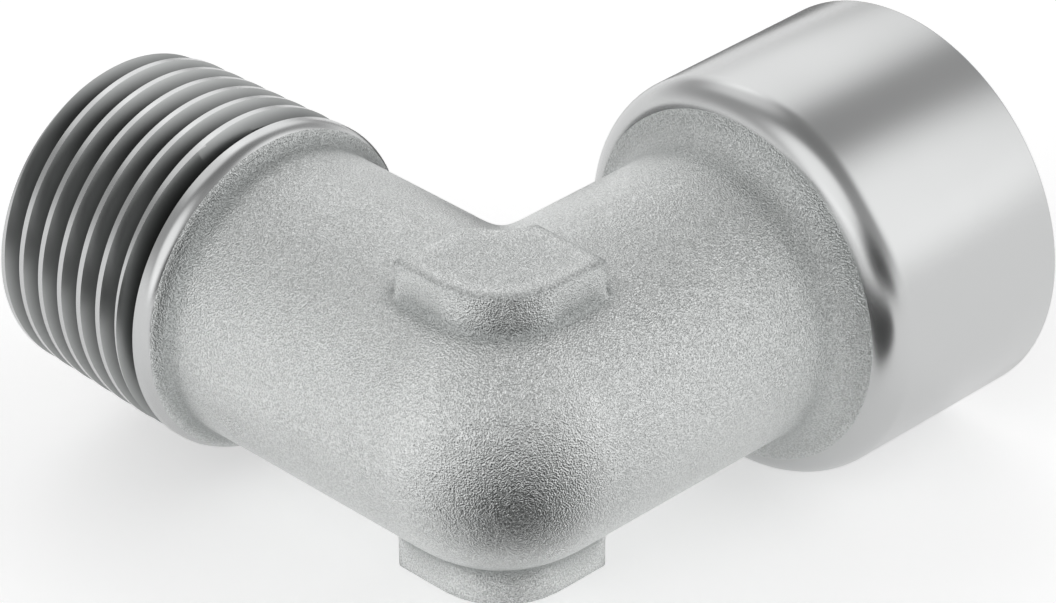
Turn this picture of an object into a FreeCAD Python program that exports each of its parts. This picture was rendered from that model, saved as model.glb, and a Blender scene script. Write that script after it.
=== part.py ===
import FreeCAD, Part
import math
import os

# A male and female pipe elbow, forged in one piece and turned at both ends.
# Millimetres. The two port axes cross at (0, 0, 0) and lie in the plane Z = 0.
# The male end points along -X, the female end along +Y, the two spanner pads face +Z and -Z.

# Forged body
arm_radius = 9.43
bore_radius = 7.0
bore_past = 2.5

# Spanner pads, one above and one below the corner ball
pad_height = 10.77
pad_outer = 4.84
pad_inner = 4.05
pad_edge = 0.5
pad_notch_radius = 3.12
pad_notch_centre = 4.29

# Male taper thread R 1/2, right hand: 14 threads to the inch, 1 in 16 on the diameter.
# It runs out at the tip and into a relief beside the shoulder, a little wider and deeper than the groove.
pitch = 25.4 / 14
gauge_radius = 20.955 / 2
gauge_length = 6.4
taper = 1 / 32
thread_depth = 0.6403 * pitch
thread_flank = math.radians(27.5)
groove_width = 0.78 * pitch
relief_extra = 0.05
groove_angle = 41.3
male_reach = 33.58
end_chamfer_axial = 0.55
end_chamfer_radial = 0.75

# Turned collar behind the male thread
shoulder = 20.53
collar_land = 0.42
collar_round = 1.08
collar_foot = 0.94

# Female end, bored to the minor diameter of a parallel thread G 1/2
female_reach = 34.70
socket_radius = 13.0
socket_round = 2.08
socket_round_at = 21.72
socket_foot = 2.35
female_minor_radius = 18.631 / 2
female_major_radius = 20.955 / 2
female_depth = 14.0
mouth_clearance = 0.1
drill_angle = math.radians(59)
bore_edge = 0.5

ORIGIN = FreeCAD.Vector(0, 0, 0)


def crest_radius(from_end):
    """Radius over the crests at a distance from the small end of the male thread."""
    return gauge_radius + (from_end - gauge_length) * taper


def upright(radius, height):
    """Point of the (radius, height) half plane that the turned outlines are drawn in."""
    return FreeCAD.Vector(radius, 0, height)


def run_of_lines(points):
    return [Part.makeLine(upright(*a), upright(*b)) for a, b in zip(points, points[1:])]


def arc(centre, radius, a0, a1):
    at = [math.radians(a) for a in (a0, (a0 + a1) / 2, a1)]
    ends = [upright(centre[0] + radius * math.cos(a), centre[1] + radius * math.sin(a)) for a in at]
    return Part.Arc(*ends).toShape()


def turned(edges):
    """Revolves a closed run of edges about Z."""
    face = Part.Face(Part.Wire(Part.__sortEdges__(edges)))
    return face.revolve(ORIGIN, FreeCAD.Vector(0, 0, 1), 360)


def rise_from_arm(outer, round_radius, round_at, foot_radius):
    """Arm, hollow foot and convex round, each touching the next, up to the turned diameter."""
    rise = arm_radius + foot_radius - (outer - round_radius)
    gap = math.sqrt((round_radius + foot_radius) ** 2 - rise ** 2)
    tilt = math.degrees(math.atan2(rise, gap))
    foot_at = round_at - gap
    return run_of_lines([(0, 0), (arm_radius, 0), (arm_radius, foot_at)]) + [
        arc((arm_radius + foot_radius, foot_at), foot_radius, 180, 90 + tilt),
        arc((outer - round_radius, round_at), round_radius, -90 + tilt, 0),
    ]


def male_blank():
    land_from = shoulder - collar_land
    outer = crest_radius(male_reach - shoulder)
    tip = crest_radius(end_chamfer_axial)
    relief_end = shoulder + groove_width + 2 * relief_extra
    relief_crest = crest_radius(male_reach - relief_end)
    relief_root = relief_crest - thread_depth - relief_extra
    edges = rise_from_arm(outer, collar_round, land_from, collar_foot)
    edges += run_of_lines([
        (outer, land_from),
        (outer, shoulder),
        (relief_root, shoulder + (outer - relief_root) * math.tan(thread_flank)),
        (relief_root, relief_end - (relief_crest - relief_root) * math.tan(thread_flank)),
        (relief_crest, relief_end),
        (tip, male_reach - end_chamfer_axial),
        (tip - end_chamfer_radial, male_reach),
        (0, male_reach),
        (0, 0),
    ])
    return onto_male(turned(edges))


def female_blank():
    edges = rise_from_arm(socket_radius, socket_round, socket_round_at, socket_foot)
    edges += run_of_lines([
        (socket_radius, socket_round_at),
        (socket_radius, female_reach),
        (0, female_reach),
        (0, 0),
    ])
    return onto_female(turned(edges))


def male_thread():
    """Helical groove from the middle of the relief to past the tip, carried a little outside the crests."""
    out = 0.2
    start = shoulder + relief_extra + groove_width / 2
    length = male_reach + groove_width - start
    crest = crest_radius(male_reach - start)
    top = groove_width / 2 + out * math.tan(thread_flank)
    root = groove_width / 2 - thread_depth * math.tan(thread_flank)
    section = [
        upright(crest + out, start - top),
        upright(crest - thread_depth, start - root),
        upright(crest - thread_depth, start + root),
        upright(crest + out, start + top),
    ]
    helix = Part.makeLongHelix(pitch, length, crest, -math.degrees(math.atan(taper)))
    helix.translate(FreeCAD.Vector(0, 0, start))
    groove = Part.Wire(helix.Edges).makePipeShell([Part.makePolygon(section + section[:1])], True, True)
    groove.rotate(ORIGIN, FreeCAD.Vector(0, 0, 1), groove_angle - 90)
    return onto_male(groove)


def onto_male(shape):
    """Lays Z along -X from the crossing."""
    shape.rotate(ORIGIN, FreeCAD.Vector(0, 1, 0), -90)
    return shape


def onto_female(shape):
    """Lays Z along +Y from the crossing."""
    shape.rotate(ORIGIN, FreeCAD.Vector(1, 0, 0), -90)
    return shape


def pads():
    """Upright column: square, with a round outer corner on the crossing and a hollow inner corner."""
    z = -pad_height
    meet = pad_notch_centre - math.sqrt(pad_notch_radius ** 2 - (pad_notch_centre - pad_inner) ** 2)
    near = pad_notch_centre - pad_notch_radius * math.sqrt(0.5)
    corner = pad_outer * math.sqrt(0.5)

    def at(x, y):
        return FreeCAD.Vector(x, y, z)

    run = [
        Part.makeLine(at(-pad_inner, meet), at(-pad_inner, -pad_outer)),
        Part.makeLine(at(-pad_inner, -pad_outer), at(0, -pad_outer)),
        Part.Arc(at(0, -pad_outer), at(corner, -corner), at(pad_outer, 0)).toShape(),
        Part.makeLine(at(pad_outer, 0), at(pad_outer, pad_inner)),
        Part.makeLine(at(pad_outer, pad_inner), at(-meet, pad_inner)),
        Part.Arc(at(-meet, pad_inner), at(-near, near), at(-pad_inner, meet)).toShape(),
    ]
    block = Part.Face(Part.Wire(run)).extrude(FreeCAD.Vector(0, 0, 2 * pad_height))
    rims = [e for e in block.Edges if abs(abs(e.CenterOfMass.z) - pad_height) < 1e-4]
    return block.makeFillet(pad_edge, rims)


def drilled(run):
    """Hole along Z with its drill's point past the crossing and the run of its wall above."""
    point = bore_radius / math.tan(drill_angle)
    start = [(0, -bore_past - point), (bore_radius, -bore_past)]
    mouth_height = run[-1][1]
    return turned(run_of_lines(start + run + [(0, mouth_height), start[0]]))


def male_bore():
    return onto_male(drilled([
        (bore_radius, male_reach - bore_edge),
        (bore_radius + bore_edge, male_reach),
    ]))


def female_bore():
    """Bore, drill's step up to the minor diameter of the thread, and the chamfer at its mouth."""
    bottom = female_reach - female_depth
    step = (female_minor_radius - bore_radius) / math.tan(drill_angle)
    mouth = female_major_radius + mouth_clearance
    chamfer = mouth - female_minor_radius
    return onto_female(drilled([
        (bore_radius, bottom - step),
        (female_minor_radius, bottom),
        (female_minor_radius, female_reach - chamfer),
        (mouth, female_reach),
    ]))


def elbow():
    body = male_blank().fuse([female_blank(), Part.makeSphere(arm_radius), pads()]).removeSplitter()
    body = body.cut([male_bore(), female_bore()])
    groove = male_thread()
    threaded = body.cut(groove)
    if body.Volume - threaded.Volume < groove.Volume / 2:
        raise ValueError("the thread groove was not cut")
    return threaded


body = elbow()
if not body.isValid() or len(body.Solids) != 1:
    raise ValueError("the elbow is not one sound solid")
os.makedirs("parts", exist_ok=True)
body.Solids[0].exportStep("parts/elbow_body.step")
print("volume", round(body.Volume, 1), "mm3, faces", len(body.Faces))
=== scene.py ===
from contextlib import contextmanager
import math

import bmesh
import bpy
from mathutils import Matrix, Vector
from mathutils.kdtree import KDTree


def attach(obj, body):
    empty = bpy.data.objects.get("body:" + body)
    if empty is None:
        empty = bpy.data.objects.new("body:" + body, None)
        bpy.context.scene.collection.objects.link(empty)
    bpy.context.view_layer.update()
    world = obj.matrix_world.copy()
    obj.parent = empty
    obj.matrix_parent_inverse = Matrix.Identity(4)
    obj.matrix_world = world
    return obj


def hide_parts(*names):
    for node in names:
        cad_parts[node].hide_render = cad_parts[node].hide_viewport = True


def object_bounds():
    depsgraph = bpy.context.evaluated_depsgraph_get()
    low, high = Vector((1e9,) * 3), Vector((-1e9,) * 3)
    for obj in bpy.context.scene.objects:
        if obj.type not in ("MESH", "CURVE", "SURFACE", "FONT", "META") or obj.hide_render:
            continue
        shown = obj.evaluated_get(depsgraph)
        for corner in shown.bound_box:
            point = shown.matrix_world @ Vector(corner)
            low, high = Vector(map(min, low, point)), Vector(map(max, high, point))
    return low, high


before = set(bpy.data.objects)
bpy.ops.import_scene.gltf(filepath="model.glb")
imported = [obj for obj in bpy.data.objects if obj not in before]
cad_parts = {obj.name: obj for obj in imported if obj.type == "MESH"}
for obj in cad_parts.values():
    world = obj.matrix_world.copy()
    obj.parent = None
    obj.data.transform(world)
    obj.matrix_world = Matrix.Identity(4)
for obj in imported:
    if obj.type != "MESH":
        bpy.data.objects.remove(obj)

cad_low, cad_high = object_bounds()

# A forged pipe elbow, nickel plated, with a turned male end and a turned female socket.
# Shapes are made in millimetres about the crossing of the two port axes, then laid in metres.
MM = 0.001
SAME_PLACE = 1e-5
ROUND_STEPS = 256
MALE_HEADING = math.radians(180)
FEMALE_HEADING = math.radians(90)

# Forged body
ARM_RADIUS = 9.43
BORE_RADIUS = 7.0
BORE_PAST = 2.5
DRILL_ANGLE = math.radians(59)
FINE_STEP = 0.13
FINE_SOFTENING = 3
SKIN_STEP = 0.24
SKIN_SOFTENING = 1
CROTCH_SOFTENING = 36
CROTCH_WIDTH = 2.4

# Painted shade in the creases and on the rims of the forged skin, by how far softening lifts a hollow or
# sinks a rim
CREASE_SOFTENING = 22
CREASE_DEPTH = 0.10
CREASE_OPEN = 0.25
RIM_FROM = 0.8
RIM_SPAN = 2.5

# Spanner pads
PAD_HEIGHT = 10.77
PAD_OUTER = 4.84
PAD_INNER = 4.05
PAD_NOTCH_RADIUS = 3.12
PAD_NOTCH_CENTRE = 4.29

# Male end and its taper thread
PITCH = 25.4 / 14
GAUGE_RADIUS = 20.955 / 2
GAUGE_LENGTH = 6.4
TAPER = 1 / 32
THREAD_DEPTH = 0.6403 * PITCH
FLANK = math.radians(27.5)
GROOVE_WIDTH = 0.78 * PITCH
GROOVE_ROOT_ROUND = 0.09
GROOVE_LIFT = 0.2
GROOVE_FADE = PITCH / 3
GROOVE_ANGLE = math.radians(41.3)
RELIEF_EXTRA = 0.05
MALE_REACH = 33.58
SHOULDER = 20.53
COLLAR_LAND = 0.42
COLLAR_ROUND = 1.08
COLLAR_FOOT = 0.94
COLLAR_BLASTED = 0.2
END_CHAMFER_AXIAL = 0.55
END_CHAMFER_RADIAL = 0.75
BORE_EDGE = 0.5

# Female end and its parallel thread
FEMALE_REACH = 34.70
SOCKET_RADIUS = 13.0
SOCKET_ROUND = 2.08
SOCKET_ROUND_AT = 21.72
SOCKET_FOOT = 2.35
SOCKET_BLASTED = 0.04
MOUTH_EDGE = 0.15
MINOR_RADIUS = 18.631 / 2
MAJOR_RADIUS = 20.955 / 2
FEMALE_DEPTH = 14.0
MOUTH_CLEARANCE = 0.1
THREAD_STOPS = 23.0

# How far a face lies from a crest, a wall, an end or the skin before it counts as clear of it
OFF_CREST = 0.03
OFF_WALL = 0.1
OFF_END = 0.001
OFF_SKIN = 0.5

# Colours of the plating
NICKEL = (0.60, 0.606, 0.606, 1)
NICKEL_SHADE = (0.55, 0.556, 0.556, 1)
# Grain colours: the grain's own tone, with painted glints on its tops and painted shade in its pits
GRAIN_TOP_GLINT = (0.94, 0.955, 0.948, 1)
GRAIN_PIT_SHADE = (0.55, 0.563, 0.557, 1)
# Painted shade for the skin's creases and rims
PAINTED_CREASE_SHADE = (0.60, 0.61, 0.61, 1)
# Painted shade in the thread grooves, from the crest colour down to the root colour
GROOVE_CREST_SHADE = (0.43, 0.44, 0.437, 1)
GROOVE_ROOT_SHADE = (0.11, 0.113, 0.112, 1)

# Noise scales, to the metre
GRAIN_SCALE = 9500
GRAIN_PATCHES = 260
TOOL_LINES = 900
TURNED_PATCHES = 140

# Light of the floor's own paint, to the camera and to the metal
FLOOR_SEEN = 0.42
FLOOR_MIRRORED = 0.35

# Camera of the photograph
CAMERA_AZIMUTH = math.radians(45.2128)
CAMERA_ELEVATION = math.radians(31.753)
CAMERA_ROLL = math.radians(-0.2148)
CAMERA_LENS = 194.884
CAMERA_DISTANCE = 335.6
FOCAL_PIXELS = 5716.6
IMAGE_CENTRE = (528, 301.5)
CROSSING_PIXEL = (501.27, 410.09)


def crest_radius(reach):
    """Radius over the male thread's crests at a distance from the crossing."""
    return GAUGE_RADIUS + (MALE_REACH - reach - GAUGE_LENGTH) * TAPER


def arc(centre, radius, start, end, steps):
    """Points of an arc, its angles measured from the second axis towards the first."""
    turns = [start + (end - start) * i / steps for i in range(steps + 1)]
    return [(centre[0] + radius * math.sin(a), centre[1] + radius * math.cos(a)) for a in turns]


def rise(outer, round_radius, round_at, foot_radius):
    """Centres of a hollow foot and the convex round that it runs into, and the slope where they touch."""
    height = ARM_RADIUS + foot_radius - (outer - round_radius)
    gap = math.sqrt((round_radius + foot_radius) ** 2 - height ** 2)
    slope = math.atan2(height, gap)
    foot = (round_at - gap, ARM_RADIUS + foot_radius)
    return foot, (round_at, outer - round_radius), slope


def meeting(parts, foot_radius):
    """Point where the forged foot ends and the turned round begins."""
    foot, _, slope = parts
    return foot[0] + foot_radius * math.cos(slope), foot[1] - foot_radius * math.sin(slope)


COLLAR = rise(crest_radius(SHOULDER), COLLAR_ROUND, SHOULDER - COLLAR_LAND, COLLAR_FOOT)
SOCKET = rise(SOCKET_RADIUS, SOCKET_ROUND, SOCKET_ROUND_AT, SOCKET_FOOT)
MALE_MEETING = meeting(COLLAR, COLLAR_FOOT)
FEMALE_MEETING = meeting(SOCKET, SOCKET_FOOT)


def new_piece(name, bm):
    mesh = bpy.data.meshes.new(name)
    bm.to_mesh(mesh)
    bm.free()
    piece = bpy.data.objects.new(name, mesh)
    bpy.context.scene.collection.objects.link(piece)
    return piece


@contextmanager
def edited(mesh):
    """The mesh as a bmesh, which is written back at the end."""
    bm = bmesh.new()
    bm.from_mesh(mesh)
    yield bm
    bm.to_mesh(mesh)
    bm.free()


def worked_in(piece):
    """Makes the result of a piece's modifiers its mesh."""
    graph = bpy.context.evaluated_depsgraph_get()
    mesh = bpy.data.meshes.new_from_object(piece.evaluated_get(graph))
    piece.modifiers.clear()
    piece.data = mesh


def combined(body, tool, operation):
    step = body.modifiers.new(operation, "BOOLEAN")
    step.operation = operation
    step.solver = "MANIFOLD"
    step.object = tool
    worked_in(body)
    bpy.data.objects.remove(tool)


def finish_solid(bm, made, heading):
    """Turns the faces of what was made outwards, and the arm that it is on towards its heading."""
    faces = list({face for v in made for face in v.link_faces})
    bmesh.ops.recalc_face_normals(bm, faces=faces)
    bmesh.ops.rotate(bm, verts=made, cent=(0, 0, 0), matrix=Matrix.Rotation(heading, 3, "Z"))


def turned(bm, outline, heading):
    """Adds a solid of revolution about an arm's axis from (reach, radius) points."""
    verts = [bm.verts.new((reach, 0, radius)) for reach, radius in outline]
    edges = [bm.edges.new(pair) for pair in zip(verts, verts[1:])]
    before = set(bm.verts) - set(verts)
    bmesh.ops.spin(bm, geom=verts + edges, cent=(0, 0, 0), axis=(1, 0, 0), angle=math.tau,
                   steps=ROUND_STEPS, use_merge=True)
    made = [v for v in bm.verts if v not in before]
    bmesh.ops.remove_doubles(bm, verts=made, dist=SAME_PLACE)
    made = [v for v in bm.verts if v not in before]
    finish_solid(bm, made, heading)


def forged_arm(bm, parts, foot_radius, heading):
    """Arm and hollow foot, carried on past the foot so that the end can be cut square."""
    foot, _, slope = parts
    end = meeting(parts, foot_radius)
    carry = 1.6
    past = (end[0] + carry * math.sin(slope), end[1] + carry * math.cos(slope))
    outline = [(0, 0), (0, ARM_RADIUS), (foot[0], ARM_RADIUS)]
    outline += arc(foot, foot_radius, math.pi, math.pi / 2 + slope, 10)[1:]
    outline += [past, (past[0] + carry, past[1]), (past[0] + carry, 0)]
    turned(bm, outline, heading)


def pad_column(bm):
    """Upright column under both pads: round outer corner, hollow inner corner."""
    reach = math.sqrt(PAD_NOTCH_RADIUS ** 2 - (PAD_NOTCH_CENTRE - PAD_INNER) ** 2)
    meet = PAD_NOTCH_CENTRE - reach
    start = math.atan2(PAD_INNER - PAD_NOTCH_CENTRE, reach)
    notch = (-PAD_NOTCH_CENTRE, PAD_NOTCH_CENTRE)
    outer = arc((0, 0), PAD_OUTER, math.pi, math.pi / 2, 18)
    inner = arc(notch, PAD_NOTCH_RADIUS, math.pi / 2 - start, math.pi + start, 12)
    run = [(-PAD_INNER, -PAD_OUTER)] + outer + [(PAD_OUTER, PAD_INNER), (-meet, PAD_INNER)]
    run += inner[1:-1] + [(-PAD_INNER, meet)]
    face = bm.faces.new([bm.verts.new((x, y, -PAD_HEIGHT)) for x, y in run])
    raised = bmesh.ops.extrude_face_region(bm, geom=[face])["geom"]
    top = [v for v in raised if isinstance(v, bmesh.types.BMVert)]
    bmesh.ops.translate(bm, verts=top, vec=(0, 0, 2 * PAD_HEIGHT))
    bmesh.ops.recalc_face_normals(bm, faces=list({f for v in top for f in v.link_faces} | {face}))


def softened(bm, verts, rounds):
    for _ in range(rounds):
        bmesh.ops.smooth_vert(bm, verts=verts, factor=0.5, use_axis_x=True, use_axis_y=True,
                              use_axis_z=True)


def in_crotch(place):
    """Whether a place lies in the inside corner, between the arms."""
    return (place.y - place.x > ARM_RADIUS and abs(place.x + place.y) < CROTCH_WIDTH
            and abs(place.z) < ARM_RADIUS)


def crease_shade_map(bm):
    """Places on the skin, and the painted shade of each by its crease: up to 1 in a hollow and less on a
    rim.
    It is measured by how far further softening would lift or sink the place."""
    flatter = bm.copy()
    softened(flatter, flatter.verts, CREASE_SOFTENING)
    bm.normal_update()
    places = KDTree(len(bm.verts))
    shaded = []
    for index, (vert, soft) in enumerate(zip(bm.verts, flatter.verts)):
        places.insert(vert.co, index)
        lift = (soft.co - vert.co).dot(vert.normal) / CREASE_DEPTH
        shaded.append(min(1, max(0, lift + CREASE_OPEN, (-lift - RIM_FROM) / RIM_SPAN)))
    places.balance()
    flatter.free()
    return places, shaded


def cut_square(bm, meet, heading):
    """Cuts off what lies past an arm's meeting with its turned end, and closes the cut."""
    out = Matrix.Rotation(heading, 3, "Z") @ Vector((1, 0, 0))
    cut = bmesh.ops.bisect_plane(bm, geom=bm.verts[:] + bm.edges[:] + bm.faces[:],
                                 plane_co=out * meet[0], plane_no=out, clear_outer=True)
    rim = [e for e in cut["geom_cut"] if isinstance(e, bmesh.types.BMEdge)]
    bmesh.ops.holes_fill(bm, edges=rim, sides=0)


def forged_body():
    """Arms, corner ball and pads run together, with the soft creases and edges of a forging."""
    bm = bmesh.new()
    forged_arm(bm, COLLAR, COLLAR_FOOT, MALE_HEADING)
    forged_arm(bm, SOCKET, SOCKET_FOOT, FEMALE_HEADING)
    bmesh.ops.create_icosphere(bm, subdivisions=5, radius=ARM_RADIUS)
    pad_column(bm)
    body = new_piece("elbow", bm)
    for step, rounds in ((FINE_STEP, FINE_SOFTENING), (SKIN_STEP, SKIN_SOFTENING)):
        skin = body.modifiers.new("skin", "REMESH")
        skin.mode = "VOXEL"
        skin.voxel_size = step
        worked_in(body)
        with edited(body.data) as bm:
            softened(bm, bm.verts, rounds)
    with edited(body.data) as bm:
        softened(bm, [v for v in bm.verts if in_crotch(v.co)], CROTCH_SOFTENING)
        creases = crease_shade_map(bm)
        cut_square(bm, MALE_MEETING, MALE_HEADING)
        cut_square(bm, FEMALE_MEETING, FEMALE_HEADING)
        bmesh.ops.recalc_face_normals(bm, faces=bm.faces)
    return body, creases


def overlap_into_body(meet, slope):
    """Start of a turned end, a little inside the forged body."""
    back = 0.4
    return [(meet[0] - back, 0), (meet[0] - back * math.sin(slope), meet[1] - back * math.cos(slope)), meet]


def male_end():
    """Turned collar, relief beside the shoulder, taper blank and chamfered tip."""
    _, centre, slope = COLLAR
    outer = crest_radius(SHOULDER)
    relief_end = SHOULDER + GROOVE_WIDTH + 2 * RELIEF_EXTRA
    relief_crest = crest_radius(relief_end)
    relief_root = relief_crest - THREAD_DEPTH - RELIEF_EXTRA
    tip = crest_radius(MALE_REACH - END_CHAMFER_AXIAL)
    outline = overlap_into_body(MALE_MEETING, slope)
    outline += arc(centre, COLLAR_ROUND, -math.pi / 2 + slope, 0, 12)[1:]
    outline += [
        (SHOULDER, outer),
        (SHOULDER + (outer - relief_root) * math.tan(FLANK), relief_root),
        (relief_end - (relief_crest - relief_root) * math.tan(FLANK), relief_root),
        (relief_end, relief_crest),
        (MALE_REACH - END_CHAMFER_AXIAL, tip),
        (MALE_REACH, tip - END_CHAMFER_RADIAL),
        (MALE_REACH, 0),
    ]
    bm = bmesh.new()
    turned(bm, outline, MALE_HEADING)
    return new_piece("male_end", bm)


def socket_end():
    """Turned socket with its large round behind and a nearly sharp edge at its mouth."""
    _, centre, slope = SOCKET
    outline = overlap_into_body(FEMALE_MEETING, slope)
    outline += arc(centre, SOCKET_ROUND, -math.pi / 2 + slope, 0, 18)[1:]
    edge = (FEMALE_REACH - MOUTH_EDGE, SOCKET_RADIUS - MOUTH_EDGE)
    outline += arc(edge, MOUTH_EDGE, 0, math.pi / 2, 4)
    outline.append((FEMALE_REACH, 0))
    bm = bmesh.new()
    turned(bm, outline, FEMALE_HEADING)
    return new_piece("socket_end", bm)


def drilled(name, wall, heading):
    """Bore with its drill's point past the crossing and the run of its wall out to the mouth."""
    point = BORE_RADIUS / math.tan(DRILL_ANGLE)
    outside = wall[-1][0] + 1
    outline = [(-BORE_PAST - point, 0), (-BORE_PAST, BORE_RADIUS)] + wall + [(outside, wall[-1][1] + 1)]
    bm = bmesh.new()
    turned(bm, outline + [(outside, 0)], heading)
    return new_piece(name, bm)


def male_bore():
    wall = [(MALE_REACH - BORE_EDGE, BORE_RADIUS), (MALE_REACH, BORE_RADIUS + BORE_EDGE)]
    return drilled("male_bore", wall, MALE_HEADING)


def female_bore():
    bottom = FEMALE_REACH - FEMALE_DEPTH
    step = (MINOR_RADIUS - BORE_RADIUS) / math.tan(DRILL_ANGLE)
    mouth = MAJOR_RADIUS + MOUTH_CLEARANCE
    wall = [
        (bottom - step, BORE_RADIUS),
        (bottom, MINOR_RADIUS),
        (FEMALE_REACH - (mouth - MINOR_RADIUS), MINOR_RADIUS),
        (FEMALE_REACH, mouth),
    ]
    return drilled("female_bore", wall, FEMALE_HEADING)


def thread_groove(name, side, first, last, passes, taper, heading):
    """Right-hand helical groove that deepens as it starts. side is +1 for a groove cut outwards from
    a hole, -1 for one cut inwards from a crest, and passes is the reach where it is at GROOVE_ANGLE."""
    surface = MINOR_RADIUS if side > 0 else GAUGE_RADIUS
    slant = math.tan(FLANK)
    half = GROOVE_WIDTH / 2
    root = half - THREAD_DEPTH * slant
    tooth = [
        (-half - GROOVE_LIFT * slant, -GROOVE_LIFT),
        (-root - GROOVE_ROOT_ROUND * slant, THREAD_DEPTH - GROOVE_ROOT_ROUND),
        (-root + GROOVE_ROOT_ROUND, THREAD_DEPTH),
    ]
    tooth += [(-along, deep) for along, deep in reversed(tooth)]
    turns = (last - first) / PITCH
    steps = round(turns * ROUND_STEPS)
    angle = GROOVE_ANGLE + (first - passes) * math.tau / PITCH
    bm = bmesh.new()
    verts = []
    for along, deep in tooth:
        radius = surface + side * deep
        verts.append(bm.verts.new((first + along, radius * math.cos(angle), radius * math.sin(angle))))
    edges = [bm.edges.new(pair) for pair in zip(verts, verts[1:] + verts[:1])]
    bmesh.ops.spin(bm, geom=verts + edges, cent=(0, 0, 0), axis=(1, 0, 0), angle=math.tau * turns,
                   steps=steps, dvec=(PITCH * turns / steps, 0, 0))
    for v in bm.verts:
        out = Vector((0, v.co.y, v.co.z)).normalized()
        v.co += out * (MALE_REACH - v.co.x - GAUGE_LENGTH) * taper
        v.co -= out * side * THREAD_DEPTH * max(0, 1 - (v.co.x - first) / GROOVE_FADE)
    bmesh.ops.holes_fill(bm, edges=[e for e in bm.edges if e.is_boundary], sides=0)
    finish_solid(bm, bm.verts, heading)
    return new_piece(name, bm)


def elbow():
    """The whole elbow as one mesh: forged body, turned ends, bores and both threads' grooves."""
    body, creases = forged_body()
    combined(body, male_end(), "UNION")
    combined(body, socket_end(), "UNION")
    combined(body, male_bore(), "DIFFERENCE")
    combined(body, female_bore(), "DIFFERENCE")
    relief = SHOULDER + RELIEF_EXTRA + GROOVE_WIDTH / 2
    male = thread_groove("male_groove", -1, relief, MALE_REACH + PITCH, relief, TAPER, MALE_HEADING)
    combined(body, male, "DIFFERENCE")
    female = thread_groove("female_groove", 1, THREAD_STOPS, FEMALE_REACH + PITCH, FEMALE_REACH, 0,
                           FEMALE_HEADING)
    combined(body, female, "DIFFERENCE")
    with edited(body.data) as bm:
        bmesh.ops.remove_doubles(bm, verts=bm.verts, dist=SAME_PLACE)
    return dressed(body, creases)


FORGED, TURNED, THREADED = range(3)


def finish_of(centre):
    """Finish of a face by its place: the forged skin, what a tool has turned, or a thread's groove."""
    from_male_axis = math.hypot(centre.y, centre.z)
    from_female_axis = math.hypot(centre.x, centre.z)
    if -centre.x > MALE_MEETING[0] + COLLAR_BLASTED:
        reach = -centre.x
        chamfer_from = MALE_REACH - END_CHAMFER_AXIAL
        crest = crest_radius(reach) - max(0, reach - chamfer_from) * END_CHAMFER_RADIAL / END_CHAMFER_AXIAL
        deep = BORE_RADIUS + BORE_EDGE + OFF_WALL < from_male_axis < crest - OFF_CREST
        return THREADED if deep and SHOULDER < reach < MALE_REACH - OFF_END else TURNED
    if centre.y > FEMALE_MEETING[0] + SOCKET_BLASTED:
        reach = centre.y
        chamfer_from = FEMALE_REACH - (MAJOR_RADIUS + MOUTH_CLEARANCE - MINOR_RADIUS)
        wall = MINOR_RADIUS + max(0, reach - chamfer_from)
        deep = wall + OFF_CREST < from_female_axis < MAJOR_RADIUS + OFF_WALL
        return THREADED if deep and reach < FEMALE_REACH - OFF_END else TURNED
    if centre.length < ARM_RADIUS - OFF_SKIN:
        return TURNED
    wall = BORE_RADIUS + OFF_SKIN
    inside = (centre.x < 0 and from_male_axis < wall) or (centre.y > 0 and from_female_axis < wall)
    return TURNED if inside else FORGED


def depth_in_thread(place):
    """How deep a place lies in a thread's groove: 0 at the crest and 1 at the root."""
    if place.y > FEMALE_MEETING[0]:
        deep = math.hypot(place.x, place.z) - MINOR_RADIUS
    else:
        deep = crest_radius(-place.x) - math.hypot(place.y, place.z)
    return min(1, max(0, deep / THREAD_DEPTH))


def painted_shade_at(place, places, shaded):
    """Amount of painted shade: by the crease of the forged skin, or by the depth in a thread at the two
    turned ends.
    """
    past_shoulder = -place.x > SHOULDER - 0.01
    past_foot = place.y > FEMALE_MEETING[0] + 1
    if past_shoulder or past_foot:
        return depth_in_thread(place)
    return shaded[places.find(place)[1]]


def dressed(body, creases):
    """Gives each face its finish, smooths it between its true edges and lays it in metres."""
    mesh = body.data
    # Amount of painted shade at each point: in the skin's creases and on its rims, and down the thread
    # grooves
    crease = mesh.attributes.new("crease", "FLOAT", "POINT")
    crease.data.foreach_set("value", [painted_shade_at(v.co, *creases) for v in mesh.vertices])
    mesh.materials.clear()
    mesh.materials.append(blasted_nickel())
    mesh.materials.append(smooth_nickel("turned_nickel", 0.20, NICKEL, NICKEL_SHADE, cloudy))
    # The thread grooves get painted shade that deepens towards the root
    mesh.materials.append(smooth_nickel("thread_groove_shaded_nickel", 0.26, GROOVE_CREST_SHADE, GROOVE_ROOT_SHADE,
                                        painted_shade_with_depth))
    for face in mesh.polygons:
        face.material_index = finish_of(face.center)
    mesh.shade_smooth()
    mesh.set_sharp_from_angle(angle=math.radians(32))
    mesh.transform(Matrix.Scale(MM, 4))
    return body


class Maths:
    """A shader socket that takes part in ordinary sums."""

    def __init__(self, graph, socket):
        self.graph = graph
        self.socket = socket

    def _with(self, operation, first, second):
        return self.graph.node("ShaderNodeMath", {"operation": operation}, {0: first, 1: second})

    def __add__(self, other):
        return self._with("ADD", self, other)

    __radd__ = __add__

    def __sub__(self, other):
        return self._with("SUBTRACT", self, other)

    def __rsub__(self, other):
        return self._with("SUBTRACT", other, self)

    def __mul__(self, other):
        return self._with("MULTIPLY", self, other)

    __rmul__ = __mul__


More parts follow.
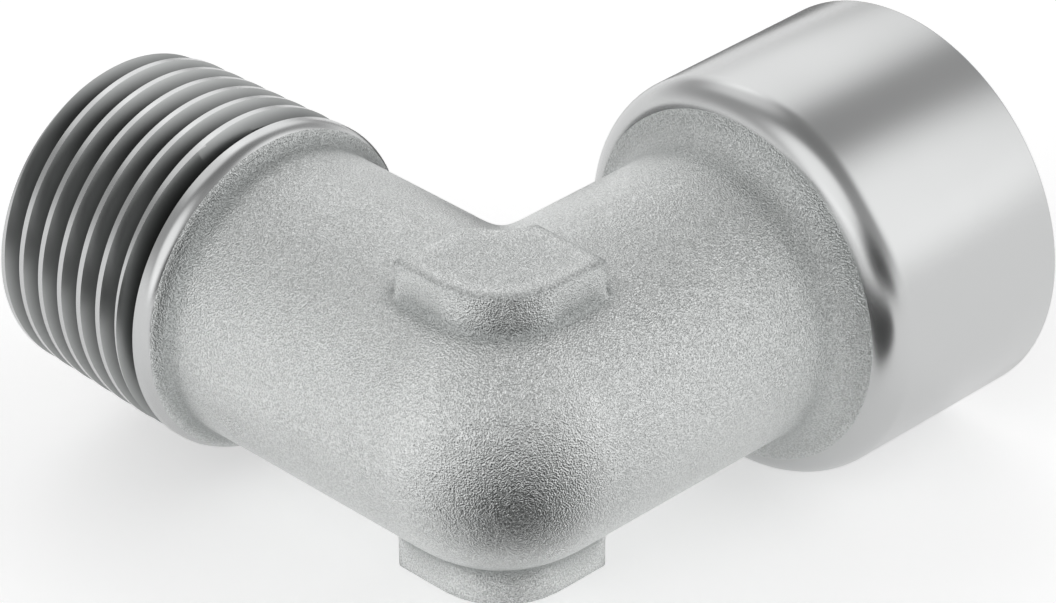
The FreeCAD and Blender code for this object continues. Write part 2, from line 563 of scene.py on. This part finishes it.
class Graph:
    """The nodes of one material or of the world."""

    def __init__(self, tree):
        self.tree = tree
        tree.nodes.clear()

    def node(self, kind, settings=None, inputs=None, output=0):
        made = self.tree.nodes.new(kind)
        for name, value in (settings or {}).items():
            if name == "stops":
                ramp = made.color_ramp
                ramp.elements[0].position, ramp.elements[0].color = value[0]
                ramp.elements[1].position, ramp.elements[1].color = value[-1]
                for place, colour in value[1:-1]:
                    ramp.elements.new(place).color = colour
            else:
                setattr(made, name, value)
        for name, value in (inputs or {}).items():
            if isinstance(value, Maths):
                self.tree.links.new(value.socket, made.inputs[name])
            else:
                made.inputs[name].default_value = value
        return Maths(self, made.outputs[output]) if made.outputs else None


def material(name):
    made = bpy.data.materials.new(name)
    made.use_nodes = True
    return made, Graph(made.node_tree)


def grey(level):
    return (level, level, level, 1)


def noise(graph, where, scale, detail):
    return graph.node("ShaderNodeTexNoise", {"noise_dimensions": "3D"},
                      {"Vector": where, "Scale": scale, "Detail": detail, "Roughness": 0.5})


def between(graph, low, high, value):
    """Smooth rise from 0 at one value to 1 at another."""
    return graph.node("ShaderNodeMapRange", {"interpolation_type": "SMOOTHSTEP"},
                      {"Value": value, "From Min": low, "From Max": high})


def mixed(graph, factor, first, second, blend="MIX"):
    """Mix of two colours. Its sockets go by number, because several share a name."""
    return graph.node("ShaderNodeMix", {"data_type": "RGBA", "blend_type": blend},
                      {0: factor, 6: first, 7: second}, output=2)


def plating(graph, colour, roughness, strength, distance, height):
    """Metal with its relief: strength, distance in metres and the height that it follows."""
    bump = graph.node("ShaderNodeBump", None,
                      {"Strength": strength, "Distance": distance, "Height": height})
    surface = graph.node("ShaderNodeBsdfPrincipled", None,
                         {"Base Color": colour, "Metallic": 1.0, "Roughness": roughness, "Normal": bump})
    graph.node("ShaderNodeOutputMaterial", None, {"Surface": surface})


def blasted_nickel():
    """Plating over a blasted forging: fine even grain, its pits darker than its tops, partly as painted
    shade in the pits and painted glints on the tops, and painted shade in the creases and on the rims."""
    made, graph = material("blasted_nickel")
    where = graph.node("ShaderNodeTexCoord", output="Object")
    shaded = graph.node("ShaderNodeAttribute", {"attribute_name": "crease"}, output="Fac")
    grain = noise(graph, where, GRAIN_SCALE, 1.0)
    patches = noise(graph, where, GRAIN_PATCHES, 2.0)
    # Grain tone from pits to tops: partly the grain's own tone, partly painted shade and painted glints
    tops = between(graph, 0.28, 0.72, grain) * 0.85 + patches * 0.15
    open_colour = mixed(graph, tops, GRAIN_PIT_SHADE, GRAIN_TOP_GLINT)
    # Painted shade, multiplied in over the skin's creases and rims by the attribute read above
    colour = mixed(graph, shaded, open_colour, PAINTED_CREASE_SHADE, "MULTIPLY")
    plating(graph, colour, 0.25 + patches * 0.08, 1.0, 0.0001, grain)
    return made


def smooth_nickel(name, roughness, bright, darker_colour, darkening):
    """Plating over a turned surface: smooth and satin, with a trace of the tool's lines."""
    made, graph = material(name)
    where = graph.node("ShaderNodeTexCoord", output="Object")
    lines = noise(graph, where, TOOL_LINES, 2.0)
    patches = noise(graph, where, TURNED_PATCHES, 2.0)
    # Darkening towards the second colour: random clouds on the turned faces, painted shade in the thread
    # grooves
    colour = mixed(graph, darkening(graph, patches), bright, darker_colour)
    plating(graph, colour, roughness + patches * 0.08, 0.25, 0.000004, lines)
    return made


def cloudy(graph, patches):
    return patches * 0.3


def painted_shade_with_depth(graph, patches):
    """Painted shade in a thread's groove: from 0 at the crest, quickly at first, to 1 at the root."""
    depth = graph.node("ShaderNodeAttribute", {"attribute_name": "crease"}, output="Fac")
    return depth * (2 - depth)


def floor(level):
    """Pale floor. Its own paint carries part of the white that the camera and the metal see."""
    bm = bmesh.new()
    bmesh.ops.create_circle(bm, cap_ends=True, segments=96, radius=4)
    bmesh.ops.translate(bm, verts=bm.verts, vec=(0, 0, level))
    made = new_piece("floor", bm)
    paint, graph = material("pale_floor")
    seen = graph.node("ShaderNodeLightPath", output="Is Camera Ray")
    mirrored = graph.node("ShaderNodeLightPath", output="Is Glossy Ray")
    through = graph.node("ShaderNodeLightPath", output="Is Transmission Ray")
    strength = seen * FLOOR_SEEN + (mirrored + through) * FLOOR_MIRRORED
    matt = graph.node("ShaderNodeBsdfDiffuse", None, {"Color": grey(0.9)})
    glow = graph.node("ShaderNodeEmission", None, {"Color": grey(1), "Strength": strength})
    both = graph.node("ShaderNodeAddShader", None, {0: matt, 1: glow})
    graph.node("ShaderNodeOutputMaterial", None, {"Surface": both})
    made.data.materials.append(paint)


def reflected_shade_card(name, level, azimuth, near, far, width, shade):
    """Oval dark card that lies on the floor and that only the metal sees, in millimetres: painted shade on
    the floor in the metal's reflections.
    """
    above_floor = 0.3
    bm = bmesh.new()
    bmesh.ops.create_circle(bm, cap_ends=True, segments=64, radius=MM / 2)
    bmesh.ops.scale(bm, verts=bm.verts, vec=(width, far - near, 1))
    bmesh.ops.translate(bm, verts=bm.verts, vec=(0, -(near + far) / 2 * MM, level + above_floor * MM))
    bmesh.ops.rotate(bm, verts=bm.verts, cent=(0, 0, 0),
                     matrix=Matrix.Rotation(math.radians(azimuth), 3, "Z"))
    made = new_piece(name, bm)
    made.visible_camera = False
    made.visible_diffuse = False
    made.visible_shadow = False
    paint, graph = material(name)
    matt = graph.node("ShaderNodeBsdfDiffuse", None, {"Color": grey(shade)})
    graph.node("ShaderNodeOutputMaterial", None, {"Surface": matt})
    made.data.materials.append(paint)


def direction(azimuth, elevation):
    """Unit vector by azimuth, 0 towards -Y and 90 towards +X, and elevation, in radians."""
    level = math.cos(elevation)
    return Vector((math.sin(azimuth) * level, -math.cos(azimuth) * level, math.sin(elevation)))


def soft_box(graph, where, azimuth, elevation, inner, outer):
    """Round patch of the room around a direction: 1 within the inner angle of it, 0 past the outer.
    All four are in degrees."""
    towards = direction(math.radians(azimuth), math.radians(elevation))
    facing = graph.node("ShaderNodeVectorMath", {"operation": "DOT_PRODUCT"},
                        {0: where, 1: towards}, output="Value")
    return between(graph, math.cos(math.radians(outer)), math.cos(math.radians(inner)), facing)


def world_light():
    """Pale room, darker overhead, with soft boxes around the elbow and two dark doorways."""
    world = bpy.data.worlds.new("room")
    bpy.context.scene.world = world
    world.use_nodes = True
    graph = Graph(world.node_tree)
    where = graph.node("ShaderNodeTexCoord")
    height = graph.node("ShaderNodeSeparateXYZ", None, {"Vector": where}, output="Z")
    stops = [(0.0, grey(0.98)), (0.12, grey(0.84)), (0.35, grey(0.42)), (0.75, grey(0.38)),
             (1.0, grey(0.24))]
    walls = graph.node("ShaderNodeValToRGB", {"stops": stops}, {"Fac": height})
    right = soft_box(graph, where, 134, 32, 8, 34)
    left = soft_box(graph, where, -132, 34, 8, 30)
    far_left = soft_box(graph, where, -92, 52, 6, 28)
    front = soft_box(graph, where, 10, 33, 16, 36)
    doorway = soft_box(graph, where, 58, -8, 20, 44)
    back_door = soft_box(graph, where, -150, -4, 6, 24)
    level = walls + right * 0.85 + left * 0.75 + far_left * 0.55 + front * 0.82
    shade = 1.06 - doorway * 0.98 - back_door * 0.6
    light = graph.node("ShaderNodeBackground", None, {"Color": grey(1), "Strength": level * shade})
    graph.node("ShaderNodeOutputWorld", None, {"Surface": light})


def camera():
    """Camera of the photograph, placed so that the crossing falls on its pixel."""
    back = direction(CAMERA_AZIMUTH, CAMERA_ELEVATION)
    level = (-back).cross(Vector((0, 0, 1))).normalized()
    upright = level.cross(-back)
    c, s = math.cos(CAMERA_ROLL), math.sin(CAMERA_ROLL)
    right, up = c * level + s * upright, c * upright - s * level
    across = (CROSSING_PIXEL[0] - IMAGE_CENTRE[0]) / FOCAL_PIXELS
    above = (IMAGE_CENTRE[1] - CROSSING_PIXEL[1]) / FOCAL_PIXELS
    place = (back - across * right - above * up) * CAMERA_DISTANCE * MM
    lens = bpy.data.cameras.new("camera")
    lens.lens = CAMERA_LENS
    lens.clip_start = 0.01
    made = bpy.data.objects.new("camera", lens)
    bpy.context.scene.collection.objects.link(made)
    turn = Matrix((right, up, back)).transposed().to_4x4()
    made.matrix_world = Matrix.Translation(place) @ turn
    bpy.context.scene.camera = made


body = elbow()
body.name = "elbow"
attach(body, "root")
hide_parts("elbow_body")

floor(cad_low.z)
# Painted shade in the metal's reflections of the floor, in front of the elbow and behind it
reflected_shade_card("front_shade_card", cad_low.z, 54, 9, 140, 76, 0.05)
reflected_shade_card("back_shade_card", cad_low.z, -149, 42, 170, 46, 0.12)
world_light()
camera()
bpy.context.scene.view_settings.view_transform = "Standard"
